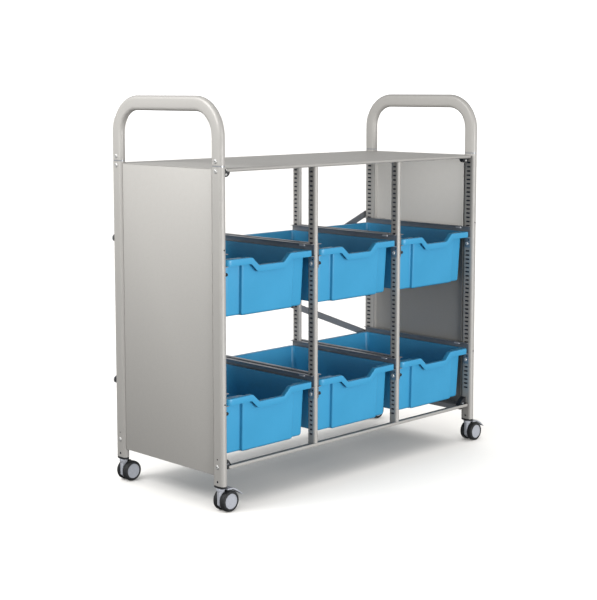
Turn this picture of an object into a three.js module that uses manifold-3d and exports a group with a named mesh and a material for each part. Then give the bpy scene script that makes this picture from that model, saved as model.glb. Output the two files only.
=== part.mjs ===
// Book cart: a slotted tube frame with two end handles, side panels, a flat top,
// six sliding trays in two rows of three, and four twin-wheel swivel casters.
// Millimetres, +Z up, X along the cart's length, -Y is the open front.

import * as THREE from 'three';
import { mergeVertices } from 'three/addons/utils/BufferGeometryUtils.js';
import Module from 'manifold-3d';

const wasm = await Module();
wasm.setup();

// ---- Driving dimensions ----

const gap = 0.3;
const ovalSegments = 4;
const roundSegments = 16;
const wheelSegments = 20;
const traySegments = 3;
const overcut = 1;

const frame = { length: 1050, depth: 445, height: 1072 };
const tube = { wide: 40, thick: 20, wall: 2 };
const upright = { wide: 30, thick: 15, wall: 1.5 };
const sheet = 1.6;
const bayCount = 3;

const top = { surface: 889, lipHeight: 9 };
const rail = { bottom: 112, top: 121, depth: 34, front: 217.5 };
const railEnd = 8.5;
const sidePanel = { inset: 5, bottom: 94, returnDepth: 12 };
const endChannel = { width: 38, bottom: 104, height: 14 };
const bracket = {
  length: 28,
  topHeight: 13,
  bottomHeight: 25,
  thickness: 16,
  setBack: 13.5,
  padSetBack: 4.5,
};

const handle = { bendRadius: 83, steps: 20 };
const joint = { bottom: 893.6, thickness: 2.8, spigot: 30, slack: 0.3 };
const foot = { bottom: 64, thickness: 6, plug: 20, socketRadius: 5.5 };

const tray = {
  width: 312,
  depth: 427,
  height: 152,
  bodyHalf: 148,
  bodyFront: 201.5,
  bodyRear: 199.5,
  wall: 2,
  rimThickness: 3,
  lipHeight: 17,
  lipThickness: 2.5,
  rimCorner: 12,
  bodyCorner: 10,
  narrowing: 0.967,
  shoulder: 96,
  shoulderDepth: 11,
  front: -217,
};
const fingerCut = { topHalf: 69, floorHalf: 45, depth: 22, spread: 4.5 };
const rowRims = { lower: 295, upper: 656 };

const runner = {
  ledgeDrop: 18.6,
  height: 34,
  flange: 12,
  sheet: 1.6,
  length: 426,
  tabDrop: 32,
  tabLength: 20,
  spacerLength: 20,
  spacerAt: 130,
  spacerDrop: 4,
};

const strap = { width: 20, thickness: 3, upper: 682, lower: 285, boltRadius: 3, nutThickness: 2 };

const caster = {
  trail: 19,
  wheelRadius: 28,
  wheelWidth: 16.5,
  wheelInner: 5.5,
  treadRound: 3,
  axleRadius: 3.5,
  webWidth: 10,
  webRadius: 20,
  hoodFront: -8,
  hoodLow: 18,
  hoodShoulder: 4,
  neckBack: 10,
  neckDrop: 3,
  neckTop: 57,
  collarRadius: 11,
  collarBottom: 55.5,
  collarTop: 63.5,
  stemRadius: 5,
  stemTop: 84,
};
const lever = {
  width: 28,
  thickness: 3,
  barrelX: 15,
  barrelZ: 59,
  barrelRadius: 2.4,
  flatEnd: 12,
  slopeEnd: 24,
  slopeDrop: 5.5,
  tipX: 67,
  tipZ: 39,
};

// ---- Places worked out from them ----

const postX = frame.length / 2 - tube.thick / 2;
const postY = frame.depth / 2 - tube.wide / 2;
const postFace = frame.length / 2 - tube.thick;
const postNose = frame.depth / 2 - tube.wide;
const postTop = joint.bottom - gap;
const postBottom = foot.bottom + foot.thickness + gap;
const handleBottom = joint.bottom + joint.thickness + gap;
const bayWidth = (2 * postFace - (bayCount - 1) * upright.thick) / bayCount;
const bayPitch = bayWidth + upright.thick;
const bayCentres = [-bayPitch, 0, bayPitch];
const uprightCentres = [-bayPitch / 2, bayPitch / 2];
const uprightY = rail.front - rail.depth / 2;
const railLength = 2 * (postFace - railEnd);
const frontHalf = frame.depth / 2;
const leverOverhang = lever.tipX - tube.thick / 2;

// ---- Helpers ----

function solid(geometry) {
  const bare = geometry.clone();
  bare.deleteAttribute('normal');
  bare.deleteAttribute('uv');
  const merged = mergeVertices(bare, 1e-4);
  return new wasm.Manifold(new wasm.Mesh({
    numProp: 3,
    vertProperties: new Float32Array(merged.attributes.position.array),
    triVerts: new Uint32Array(merged.index.array),
  }));
}

function surface(body) {
  const mesh = body.getMesh();
  const geometry = new THREE.BufferGeometry();
  geometry.setAttribute('position', new THREE.BufferAttribute(mesh.vertProperties, 3));
  geometry.setIndex(new THREE.BufferAttribute(mesh.triVerts, 1));
  geometry.computeVertexNormals();
  return geometry;
}

function join(first, ...others) {
  return surface(others.reduce((body, other) => body.add(solid(other)), solid(first)));
}

function cut(first, ...others) {
  return surface(others.reduce((body, other) => body.subtract(solid(other)), solid(first)));
}

// An outline in (x, y), pulled up from z = low to z = high.
function prismZ(outline, low, high, curveSegments = ovalSegments) {
  const geometry = new THREE.ExtrudeGeometry(outline, {
    depth: high - low,
    bevelEnabled: false,
    curveSegments,
  });
  return geometry.translate(0, 0, low);
}

// An outline in (x, z), pulled along Y.
function prismY(outline, low, high, curveSegments = ovalSegments) {
  const geometry = prismZ(outline, 0, high - low, curveSegments);
  return geometry.rotateX(Math.PI / 2).translate(0, high, 0);
}

// An outline in (y, z), pulled along X.
function prismX(outline, low, high, curveSegments = ovalSegments) {
  const geometry = prismZ(outline, 0, high - low, curveSegments);
  return geometry.rotateX(Math.PI / 2).rotateZ(Math.PI / 2).translate(low, 0, 0);
}

function box(low, high) {
  const size = high.map((value, axis) => value - low[axis]);
  const centre = high.map((value, axis) => (value + low[axis]) / 2);
  return new THREE.BoxGeometry(...size).translate(...centre);
}

function outlineOf(points) {
  return new THREE.Shape(points.map(([a, b]) => new THREE.Vector2(a, b)));
}

// A flat-sided oval, thick along its first axis and wide along its second, before it is turned.
function flatOval(thick, wide, turn = 0) {
  const nose = thick / 2;
  const x = (wide / 2 - nose) * Math.sin(turn);
  const y = (wide / 2 - nose) * Math.cos(turn);
  const outline = new THREE.Shape();
  outline.absarc(-x, y, nose, turn, turn + Math.PI);
  outline.absarc(x, -y, nose, turn + Math.PI, turn + 2 * Math.PI);
  return outline;
}

function ovalTube(size, turn = 0) {
  const outline = flatOval(size.thick, size.wide, turn);
  outline.holes.push(flatOval(size.thick - 2 * size.wall, size.wide - 2 * size.wall, turn));
  return outline;
}

function roundedRectangle(width, depth, corner) {
  const x = width / 2 - corner;
  const y = depth / 2 - corner;
  const outline = new THREE.Shape();
  outline.absarc(x, y, corner, 0, Math.PI / 2);
  outline.absarc(-x, y, corner, Math.PI / 2, Math.PI);
  outline.absarc(-x, -y, corner, Math.PI, 1.5 * Math.PI);
  outline.absarc(x, -y, corner, 1.5 * Math.PI, 2 * Math.PI);
  return outline;
}

// ---- Frame ----

const cart = new THREE.Group();
cart.position.x = -leverOverhang / 2;

const silver = { color: 0xbab7b1, roughness: 0.45, metalness: 0.6 };
const darkSteel = { color: 0x646a73, roughness: 0.5, metalness: 0.6 };
const blackPlastic = { color: 0x23262a, roughness: 0.55, metalness: 0 };
const bluePlastic = { color: 0x46a5d7, roughness: 0.4, metalness: 0 };
const paleGrey = { color: 0xafb2bc, roughness: 0.45, metalness: 0 };
const tyreRubber = { color: 0x1c1f22, roughness: 0.7, metalness: 0 };

function add(name, geometry, finish, position = [0, 0, 0], parent = cart) {
  const mesh = new THREE.Mesh(geometry, new THREE.MeshStandardMaterial(finish));
  mesh.name = name;
  mesh.position.set(...position);
  parent.add(mesh);
  return mesh;
}

const ends = [['left', -1], ['right', 1]];
const faces = [['front', -1], ['rear', 1]];

// Round the hoop at an even pace: up, over and down again in the plane of the end frame.
class HoopPath extends THREE.CurvePath {
  constructor(halfWidth, low, high, radius) {
    super();
    const inner = halfWidth - radius;
    const bend = high - radius;
    const at = (y, z) => new THREE.Vector3(0, y, z);
    this.add(new THREE.LineCurve3(at(-halfWidth, low), at(-halfWidth, bend)));
    this.add(new ArcInEndPlane(at(-inner, bend), radius, Math.PI, Math.PI / 2));
    this.add(new THREE.LineCurve3(at(-inner, high), at(inner, high)));
    this.add(new ArcInEndPlane(at(inner, bend), radius, Math.PI / 2, 0));
    this.add(new THREE.LineCurve3(at(halfWidth, bend), at(halfWidth, low)));
  }
}

class ArcInEndPlane extends THREE.Curve {
  constructor(centre, radius, from, to) {
    super();
    Object.assign(this, { centre, radius, from, to });
  }

  getPoint(t) {
    const angle = this.from + (this.to - this.from) * t;
    return new THREE.Vector3(
      this.centre.x,
      this.centre.y + this.radius * Math.cos(angle),
      this.centre.z + this.radius * Math.sin(angle),
    );
  }
}

function handleHoop() {
  const high = frame.height - tube.wide / 2;
  const path = new HoopPath(postY, handleBottom, high, handle.bendRadius);
  // The path's frame puts the outline's first axis in the hoop's plane, so the oval is turned.
  return new THREE.ExtrudeGeometry(ovalTube(tube, Math.PI / 2), {
    extrudePath: path,
    steps: handle.steps,
    curveSegments: ovalSegments,
  });
}

function handleJoint() {
  const shrink = 2 * (tube.wall + joint.slack);
  const inner = flatOval(tube.thick - shrink, tube.wide - shrink);
  const spigot = prismZ(inner, -joint.spigot, joint.thickness + joint.spigot);
  return join(spigot, prismZ(flatOval(tube.thick, tube.wide), 0, joint.thickness));
}

function footCap() {
  const inner = flatOval(tube.thick - 2 * (tube.wall + gap), tube.wide - 2 * (tube.wall + gap));
  const cap = join(
    prismZ(flatOval(tube.thick, tube.wide), 0, foot.thickness),
    prismZ(inner, 0, foot.thickness + foot.plug),
  );
  const socket = new THREE.CylinderGeometry(
    foot.socketRadius, foot.socketRadius, 3 * foot.plug, roundSegments);
  return cut(cap, socket.rotateX(Math.PI / 2));
}

// A shallow tray of folded sheet, standing on edge, its open side facing inwards.
function sidePanelSheet() {
  const half = postNose - gap;
  const high = top.surface - sheet - gap;
  const shell = box([0, -half, sidePanel.bottom], [sidePanel.returnDepth, half, high]);
  const inside = box(
    [sheet, sheet - half, sidePanel.bottom + sheet],
    [sidePanel.returnDepth + overcut, half - sheet, high - sheet],
  );
  return cut(shell, inside);
}

// Flat top with a channel folded down and back along the front and the rear.
function topSheet() {
  const low = top.surface - sheet;
  const plate = box([-postFace + gap, -rail.front, low], [postFace - gap, rail.front, top.surface]);
  const wings = box([-frame.length / 2 + sidePanel.inset, -postNose + gap, low],
    [frame.length / 2 - sidePanel.inset, postNose - gap, top.surface]);
  const edges = faces.flatMap(([, side]) => {
    const outer = side * rail.front;
    const inner = side * (rail.front - rail.depth);
    return [outer, inner].map((y) => {
      const back = y === outer ? y - side * sheet : y + side * sheet;
      return box([-railLength / 2, Math.min(y, back), top.surface - top.lipHeight],
        [railLength / 2, Math.max(y, back), top.surface]);
    });
  });
  return join(plate, wings, ...edges);
}

// A flat web along X, centred on y = 0, with a nose folded up along its outer edge.
function bottomRail() {
  const half = rail.depth / 2;
  const outline = outlineOf([
    [-half, rail.bottom], [half, rail.bottom], [half, rail.bottom + sheet],
    [sheet - half, rail.bottom + sheet], [sheet - half, rail.top], [-half, rail.top],
  ]);
  return prismX(outline, -railLength / 2, railLength / 2);
}

// An open channel lying along Y with its mouth down.
function footChannel() {
  const half = endChannel.width / 2;
  const reach = rail.front - rail.depth - gap;
  const outline = outlineOf([
    [-half, 0], [sheet - half, 0], [sheet - half, endChannel.height - sheet],
    [half - sheet, endChannel.height - sheet], [half - sheet, 0], [half, 0],
    [half, endChannel.height], [-half, endChannel.height],
  ]);
  return prismY(outline, -reach, reach);
}

// The half-round gusset that hangs below the top's lip.
function hangingGusset() {
  const outline = new THREE.Shape();
  outline.absellipse(bracket.length / 2, 0, bracket.length / 2, bracket.topHeight, 0, Math.PI);
  return outline;
}

// The gusset that stands in the corner of post and bottom rail.
function standingGusset() {
  const outline = new THREE.Shape();
  outline.moveTo(0, 0);
  outline.lineTo(bracket.length, 0);
  outline.absellipse(0, 0, bracket.length, bracket.bottomHeight, 0, Math.PI / 2);
  return outline;
}

// A gusset on post and rail, with the pad that closes the rail's end.
function cornerBracket(outline, padLow, padHigh) {
  const gusset = prismY(outline, 0, bracket.thickness, 2 * ovalSegments);
  const padFront = bracket.padSetBack - bracket.setBack;
  const pad = box([0, padFront, padLow], [railEnd - 2 * gap, bracket.thickness, padHigh]);
  return join(gusset, pad);
}

function intermediateUpright() {
  const low = rail.bottom + sheet + gap;
  return prismZ(ovalTube(upright), low, top.surface - sheet - gap);
}

for (const [end, side] of ends) {
  add(`handle_${end}`, handleHoop(), silver, [side * postX, 0, 0]);
  const panel = add(`side_panel_${end}`, sidePanelSheet(), silver,
    [side * (frame.length / 2 - sidePanel.inset), 0, 0]);
  panel.rotation.z = side > 0 ? Math.PI : 0;
  add(`foot_channel_${end}`, footChannel(), darkSteel,
    [side * (postFace - gap - endChannel.width / 2), 0, endChannel.bottom]);
  for (const [face, front] of faces) {
    const corner = `${face}_${end}`;
    const place = [side * postX, front * postY];
    add(`post_${corner}`, prismZ(ovalTube(tube), postBottom, postTop), silver, [...place, 0]);
    add(`handle_joint_${corner}`, handleJoint(), darkSteel, [...place, joint.bottom]);
    add(`foot_cap_${corner}`, footCap(), blackPlastic, [...place, foot.bottom]);
  }
}

add('top_panel', topSheet(), silver);

for (const [face, front] of faces) {
  const sill = add(`bottom_rail_${face}`, bottomRail(), silver, [0, front * uprightY, 0]);
  sill.rotation.z = front > 0 ? Math.PI : 0;
  uprightCentres.forEach((x, index) => {
    add(`upright_${face}_${index + 1}`, intermediateUpright(), silver, [x, front * uprightY, 0]);
  });
}

const railFloor = rail.bottom + sheet + gap;
const bracketLevels = [
  {
    level: 'top',
    height: top.surface - top.lipHeight - gap,
    up: -1,
    shape: () => cornerBracket(hangingGusset(), sheet - top.lipHeight, gap),
  },
  {
    level: 'bottom',
    height: railFloor,
    up: 1,
    shape: () => cornerBracket(standingGusset(), rail.bottom - railFloor, rail.top - railFloor),
  },
];
for (const { level, height, up, shape } of bracketLevels) {
  for (const [end, side] of ends) {
    for (const [face, front] of faces) {
      const body = solid(shape()).scale([-side, -front, up]);
      add(`corner_bracket_${level}_${face}_${end}`, surface(body), blackPlastic,
        [side * (postFace - gap), front * (rail.front - bracket.setBack), height]);
    }
  }
}

// ---- Rear brace ----

// A flat strap with round ends, from one rear post to the other.
function braceStrap(rise) {
  const run = 2 * postX;
  const length = Math.hypot(run, rise);
  const half = strap.width / 2;
  const outline = new THREE.Shape();
  outline.absarc(length / 2, 0, half, -Math.PI / 2, Math.PI / 2);
  outline.absarc(-length / 2, 0, half, Math.PI / 2, 1.5 * Math.PI);
  const hole = new THREE.Path();
  hole.absarc(0, 0, strap.boltRadius + gap, 0, 2 * Math.PI);
  outline.holes.push(hole);
  return prismY(outline, 0, strap.thickness, 8).rotateY(-Math.atan2(rise, run));
}

function crossingBolt() {
  const grip = 2 * strap.thickness + 3 * gap;
  const head = 2 * strap.boltRadius;
  const profile = [
    [0, -strap.thickness], [head, -strap.thickness], [head, -gap], [strap.boltRadius, -gap],
    [strap.boltRadius, grip - gap], [head, grip - gap],
    [head, grip + strap.nutThickness], [0, grip + strap.nutThickness],
  ];
  return new THREE.LatheGeometry(profile.map(([r, y]) => new THREE.Vector2(r, y)), roundSegments);
}

const braceMiddle = (strap.upper + strap.lower) / 2;
const braceRise = strap.upper - strap.lower;
const firstStrapY = frontHalf + gap;
const secondStrapY = firstStrapY + strap.thickness + gap;
add('brace_strap_falling', braceStrap(-braceRise), darkSteel, [0, firstStrapY, braceMiddle]);
add('brace_strap_rising', braceStrap(braceRise), darkSteel, [0, secondStrapY, braceMiddle]);
add('brace_centre_bolt', crossingBolt(), darkSteel, [0, firstStrapY, braceMiddle]);

// ---- Tray runners ----

// One C-channel along Y, its web at x = 0 and its mouth towards +X, with a bolting tab at each end.
function channelPieces() {
  const high = runner.height;
  const outline = outlineOf([
    [0, 0], [runner.flange, 0], [runner.flange, runner.sheet], [runner.sheet, runner.sheet],
    [runner.sheet, high - runner.sheet], [runner.flange, high - runner.sheet],
    [runner.flange, high], [0, high],
  ]);
  const reach = runner.length / 2;
  const tab = (low) => box([0, low, -runner.tabDrop], [runner.sheet, low + runner.tabLength, high / 2]);
  return [prismY(outline, -reach, reach), tab(-reach), tab(reach - runner.tabLength)];
}

function singleRunner() {
  return join(...channelPieces());
}

// Two channels back to back, one each side of an upright, held together by two spacers.
function doubleRunner() {
  const half = upright.thick / 2 + gap;
  const oneSide = solid(singleRunner()).translate([half, 0, 0]);
  const bothSides = [oneSide, oneSide.scale([-1, 1, 1])];
  const spacers = [-1, 1].map((side) => {
    const middle = side * runner.spacerAt;
    const low = middle - runner.spacerLength / 2;
    const high = middle + runner.spacerLength / 2;
    return solid(box([-half - runner.sheet / 2, low, runner.spacerDrop],
      [half + runner.sheet / 2, high, runner.height - runner.spacerDrop]));
  });
  return surface([...bothSides, ...spacers].reduce((body, other) => body.add(other)));
}

for (const [row, rim] of Object.entries(rowRims)) {
  const ledge = rim - runner.ledgeDrop;
  for (const [end, side] of ends) {
    const body = solid(singleRunner()).scale([-side, 1, 1]);
    add(`runner_${row}_${end}`, surface(body), darkSteel, [side * (postFace - gap), 0, ledge]);
  }
  uprightCentres.forEach((x, index) => {
    add(`runner_${row}_middle_${index + 1}`, doubleRunner(), darkSteel, [x, 0, ledge]);
  });
}

// ---- Trays ----

// The tray's plan, its front standing forward between two shoulders.
function trayPlan(inset) {
  const x = tray.bodyHalf - inset;
  const front = -tray.bodyFront + inset;
  const set = front + tray.shoulderDepth;
  const rear = tray.bodyRear - inset;
  const step = tray.shoulder - inset;
  const corner = tray.bodyCorner - inset;
  const outline = new THREE.Shape();
  outline.moveTo(-step, front);
  outline.lineTo(step, front);
  outline.lineTo(step, set);
  outline.absarc(x - corner, set + corner, corner, -Math.PI / 2, 0);
  outline.absarc(x - corner, rear - corner, corner, 0, Math.PI / 2);
  outline.absarc(-x + corner, rear - corner, corner, Math.PI / 2, Math.PI);
  outline.absarc(-x + corner, set + corner, corner, Math.PI, 1.5 * Math.PI);
  outline.lineTo(-step, set);
  return outline;
}

// Narrows a body towards its foot, as a moulded tray is.
function narrowed(geometry) {
  const place = geometry.attributes.position;
  for (let index = 0; index < place.count; index += 1) {
    const rise = Math.min(place.getZ(index) / tray.height, 1);
    const factor = tray.narrowing + (1 - tray.narrowing) * rise;
    place.setX(index, place.getX(index) * factor);
    place.setY(index, place.getY(index) * factor);
  }
  return geometry;
}

// The lip along the front follows the finger cut-out down and up again.
function fingerLip() {
  const high = tray.height;
  const low = high - fingerCut.depth;
  const { topHalf, floorHalf, spread } = fingerCut;
  const edge = [[-floorHalf, low], [floorHalf, low], [topHalf, high]];
  const under = [[topHalf + spread, high - tray.lipHeight], [floorHalf + spread, low - tray.lipHeight],
    [-floorHalf - spread, low - tray.lipHeight], [-topHalf - spread, high - tray.lipHeight]];
  const apron = prismY(outlineOf([[-topHalf, high], ...edge, ...under]),
    -tray.depth / 2, -tray.depth / 2 + tray.lipThickness);
  const ledge = prismY(outlineOf([[-topHalf, high], ...edge,
    [topHalf, high - tray.rimThickness], [floorHalf, low - tray.rimThickness],
    [-floorHalf, low - tray.rimThickness], [-topHalf, high - tray.rimThickness]]),
  -tray.depth / 2, -tray.bodyFront + tray.wall / 2);
  return [apron, ledge];
}

function rimOutline(inset) {
  return roundedRectangle(tray.width - 2 * inset, tray.depth - 2 * inset, tray.rimCorner - inset);
}

function trayBody() {
  const high = tray.height;
  const low = high - fingerCut.depth;
  const lipLow = high - tray.lipHeight;
  const { topHalf, floorHalf } = fingerCut;
  const rim = cut(
    prismZ(rimOutline(0), lipLow, high, traySegments),
    prismZ(rimOutline(tray.lipThickness), lipLow - overcut, high - tray.rimThickness, traySegments),
  );
  const whole = join(rim, narrowed(prismZ(trayPlan(0), 0, high, traySegments)));
  const cavity = narrowed(prismZ(trayPlan(tray.wall), tray.wall, high + overcut, traySegments));
  const notch = prismY(outlineOf([[-floorHalf, low], [floorHalf, low], [topHalf, high],
    [topHalf, high + overcut], [-topHalf, high + overcut], [-topHalf, high]]),
  -tray.depth / 2 - overcut, -tray.bodyFront + tray.shoulderDepth);
  return join(cut(whole, cavity, notch), ...fingerLip());
}

const trayY = tray.front + tray.depth / 2;
for (const [row, rim] of Object.entries(rowRims)) {
  bayCentres.forEach((x, index) => {
    add(`tray_${row}_${index + 1}`, trayBody(), bluePlastic, [x, trayY, rim - tray.height]);
  });
}

// ---- Casters ----

function turnedAboutY(points, segments) {
  return new THREE.LatheGeometry(points.map(([r, y]) => new THREE.Vector2(r, y)), segments);
}

function turnedAboutZ(radius, low, high, segments) {
  const geometry = new THREE.CylinderGeometry(radius, radius, high - low, segments);
  return geometry.rotateX(Math.PI / 2).translate(0, 0, (low + high) / 2);
}

// Two wheels and the axle that joins them, turned about Y.
function wheelPair() {
  const { wheelRadius: big, axleRadius: small, wheelInner: near, treadRound: round } = caster;
  const far = near + caster.wheelWidth;
  return turnedAboutY([
    [0, -far], [big - round, -far], [big, -far + round], [big, -near - round], [big - round, -near],
    [small, -near], [small, near],
    [big - round, near], [big, near + round], [big, far - round], [big - round, far], [0, far],
  ], wheelSegments);
}

// The web between the wheels, the neck above it, and the stem that swivels in the foot cap.
function casterHood() {
  const { trail, wheelRadius: axleZ, hoodFront, neckBack, neckTop } = caster;
  const half = caster.webWidth / 2;
  // The cylinders' own axes already lie along Y, so only their places change.
  const web = new THREE.CylinderGeometry(caster.webRadius, caster.webRadius, caster.webWidth, wheelSegments);
  web.translate(trail, 0, axleZ);
  const neck = prismY(outlineOf([
    [hoodFront, caster.hoodLow],
    [trail, caster.hoodLow],
    [trail + caster.hoodShoulder, axleZ + caster.webRadius - overcut],
    [neckBack, neckTop - caster.neckDrop],
    [neckBack, neckTop],
    [hoodFront, neckTop],
  ]), -half, half);
  const collar = turnedAboutZ(caster.collarRadius, caster.collarBottom, caster.collarTop, wheelSegments);
  const stem = turnedAboutZ(caster.stemRadius, neckTop, caster.stemTop, roundSegments);
  const axleHole = new THREE.CylinderGeometry(
    caster.axleRadius + gap, caster.axleRadius + gap, 2 * caster.webWidth, roundSegments);
  axleHole.translate(trail, 0, axleZ);
  return cut(join(web, neck, collar, stem), axleHole);
}

// A pedal that reaches over both wheels from its hinge barrel to a tip behind them.
function brakeLever() {
  const half = lever.width / 2;
  const { thickness, barrelX, barrelZ, barrelRadius, tipX, tipZ } = lever;
  const low = barrelZ - thickness / 2;
  const flatEnd = caster.trail + lever.flatEnd;
  const slopeEnd = caster.trail + lever.slopeEnd;
  const outline = outlineOf([
    [barrelX, low], [flatEnd, low], [slopeEnd, low - lever.slopeDrop], [tipX, tipZ - thickness],
    [tipX, tipZ], [slopeEnd, low - lever.slopeDrop + thickness],
    [flatEnd, low + thickness], [barrelX, low + thickness],
  ]);
  const barrel = new THREE.CylinderGeometry(barrelRadius, barrelRadius, lever.width, roundSegments);
  return join(prismY(outline, -half, half), barrel.translate(barrelX, 0, barrelZ));
}

for (const [end, side] of ends) {
  for (const [face, front] of faces) {
    const unit = new THREE.Group();
    unit.position.set(side * postX, front * postY, 0);
    cart.add(unit);
    const corner = `${face}_${end}`;
    add(`caster_hood_${corner}`, casterHood(), paleGrey, [0, 0, 0], unit);
    add(`wheel_pair_${corner}`, wheelPair(), tyreRubber, [caster.trail, 0, caster.wheelRadius], unit);
    if (face === 'front') {
      add(`brake_lever_${corner}`, brakeLever(), paleGrey, [0, 0, 0], unit);
    }
  }
}

export default cart;
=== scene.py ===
"""The looks of a steel tray trolley: two end handles, six sliding trays, four twin-wheel casters.

Metres, +Z up, X along the trolley's length, -Y its open front.
"""

from math import atan2, cos, pi, radians, sin, tan

import bmesh
import bpy
from mathutils import Matrix, Vector


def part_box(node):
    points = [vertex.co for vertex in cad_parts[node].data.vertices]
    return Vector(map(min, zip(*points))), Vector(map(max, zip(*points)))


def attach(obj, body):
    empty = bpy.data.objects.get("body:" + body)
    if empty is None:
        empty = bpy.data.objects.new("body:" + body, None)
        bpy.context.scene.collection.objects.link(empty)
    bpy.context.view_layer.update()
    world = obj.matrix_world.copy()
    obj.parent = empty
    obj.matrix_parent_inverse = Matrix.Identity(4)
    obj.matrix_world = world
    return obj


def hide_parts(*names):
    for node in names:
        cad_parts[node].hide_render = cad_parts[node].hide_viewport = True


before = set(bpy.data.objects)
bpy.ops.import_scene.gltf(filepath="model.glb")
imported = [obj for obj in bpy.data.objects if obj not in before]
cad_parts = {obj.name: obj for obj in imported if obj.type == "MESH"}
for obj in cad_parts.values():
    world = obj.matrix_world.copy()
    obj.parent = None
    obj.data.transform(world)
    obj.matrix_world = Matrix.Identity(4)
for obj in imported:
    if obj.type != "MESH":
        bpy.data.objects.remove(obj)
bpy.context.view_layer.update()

# ---- Sizes of what the CAD model leaves plain ----

MM = 0.001
SHEET = 1.6 * MM
GAP = 0.3 * MM
SHARP_ANGLE = radians(32)
BEVEL_SEGMENTS = 2
SOFT_EDGE = 0.5 * MM
HALFWAY_SHARE = 0.3
MITRE_LIMIT = 0.5
CORNER_STEPS, EDGE_STEPS, HOLE_STEPS, OVAL_STEPS = 5, 4, 4, 14

# Slots and holes of the posts and uprights
POST_SLOT = {"half_width": 7 * MM, "half_height": 2.6 * MM, "round": 1.2 * MM}
UPRIGHT_SLOT = {"half_width": 5.5 * MM, "half_height": 2.5 * MM, "round": 1.2 * MM}
FOOT_HOLE = {"half_width": 3.2 * MM, "half_height": 3.2 * MM, "round": 3.2 * MM}
PANEL_HOLE = {"half_width": 1.9 * MM, "half_height": 1.9 * MM, "round": 1.9 * MM}
POST_STRIP, UPRIGHT_STRIP = 8.6 * MM, 6.6 * MM
SLOT_PITCH, SLOT_MARGIN, SLOT_DEPTH = 12.9 * MM, 0.6 * MM, 4.5 * MM
POST_SLOTS_FROM, POST_SLOTS_TO = 158 * MM, 866 * MM
UPRIGHT_SLOTS_FROM, UPRIGHT_SLOTS_TO = 132 * MM, 880 * MM
FOOT_HOLE_Z, PANEL_HOLE_Z = 81 * MM, 140 * MM

# Fasteners
SCREW_RADIUS, SCREW_HEIGHT = 5.8 * MM, 2.8 * MM
SMALL_SCREW_RADIUS, SMALL_SCREW_HEIGHT = 2.4 * MM, 1.2 * MM
BRACE_BOLT_RADIUS, BRACE_BOLT_HEIGHT, BRACE_BOLT_IN = 7 * MM, 5 * MM, 10 * MM
SCREW_DOME = ((1, 0), (1, 0.25), (0.93, 0.55), (0.78, 0.82), (0.58, 1))
SOCKET_SHARE, SOCKET_LEVELS = 0.42, (0.97, 0.3)
SCREW_STEPS, KNOB_STEPS = 24, 48
KNOB_RADIUS, KNOB_HEIGHT = 4.6 * MM, 10 * MM
KNOB_PROFILE = ((0.62, 0), (0.62, 0.22), (1, 0.3), (1, 0.78), (0.9, 0.93), (0.6, 1))
KNOB_LOBES, KNOB_LOBE_DEPTH, KNOB_GRIP_SHARE = 8, 0.07, 0.8
SCREW_SUNK, DOT_SUNK = 0.3 * MM, 0.2 * MM
JOINT_SCREW_RISE, PANEL_SCREW_Z = 12.5 * MM, 120 * MM
NOSE_DOTS_Z = (683 * MM, 285 * MM)

# End frames
HANDLE_BEND, HANDLE_BEND_STEPS = 83 * MM, 24
JOINT_INSET = 0.5 * MM
FOOT_ROUND = 2.4 * MM
PANEL_RETURN, PANEL_FOLD, PANEL_CORNER, PANEL_INNER_ROUND = 12 * MM, 1.6 * MM, 2.5 * MM, 0.4 * MM

# Top, bottom rails and corner brackets
TOP_LIP_HEIGHT, TOP_LIP_RETURN, TOP_LIP_ROUND, TOP_LIP_STEPS = 9 * MM, 30 * MM, 4.4 * MM, 12
RAIL_NOSE_THICKNESS, RAIL_NOSE_ROUND, RAIL_FOLD_ROUND = 5.2 * MM, 2.5 * MM, 2.2 * MM
# The dark strip behind the bottom rail's nose is painted shade and painted reflection, not a real part.
RAIL_SHADE_STRIP_DEPTH, RAIL_SHADE_STRIP_RISE = 14 * MM, 0.25 * MM
BRACKET_THICKNESS, BRACKET_PAD_WIDTH = 16 * MM, 7.9 * MM
BRACKET_SCREW_IN, BRACKET_SCREW_OFF, BRACKET_SCREW_SHARE = 14.5 * MM, 6.7 * MM, 0.6
GUSSET_TOE, GUSSET_BEND, GUSSET_TOP = (1, 0.12), (0.66, 0.7), (0.2, 1)
GUSSET_ROUND, GUSSET_BEND_ROUND, GUSSET_END_ROUND, GUSSET_STEPS = 2 * MM, 5 * MM, 0.8 * MM, 24

# Tray runners
RUNNER_HEIGHT, RUNNER_FLANGE = 34 * MM, 12 * MM
RUNNER_FOLD, RUNNER_INNER_ROUND = 1.4 * MM, 0.6 * MM
RUNNER_TAB_DROP, RUNNER_TAB_LENGTH, RUNNER_TAB_ROUND = 32 * MM, 20 * MM, 3 * MM
RUNNER_SPACER_AT, RUNNER_SPACER_LENGTH, RUNNER_SPACER_DROP = 130 * MM, 20 * MM, 4 * MM
RUNNER_BOLT_IN, RUNNER_KNOB_IN, RUNNER_BOLT_DROP = 12 * MM, 4.5 * MM, 19.5 * MM
RUNNER_DOT_IN, RUNNER_DOT_DROP = 5 * MM, 8 * MM
STOP_FROM_FRONT, STOP_DROP, STOP_LENGTH = 44 * MM, 5.4 * MM, 20 * MM
STOP_THICKNESS, STOP_PROUD, STOP_STEPS = 5 * MM, 4 * MM, 8
STOP_PROFILE = ((1, 0), (1, 0.4), (0.9, 0.75), (0.6, 1))

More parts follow.
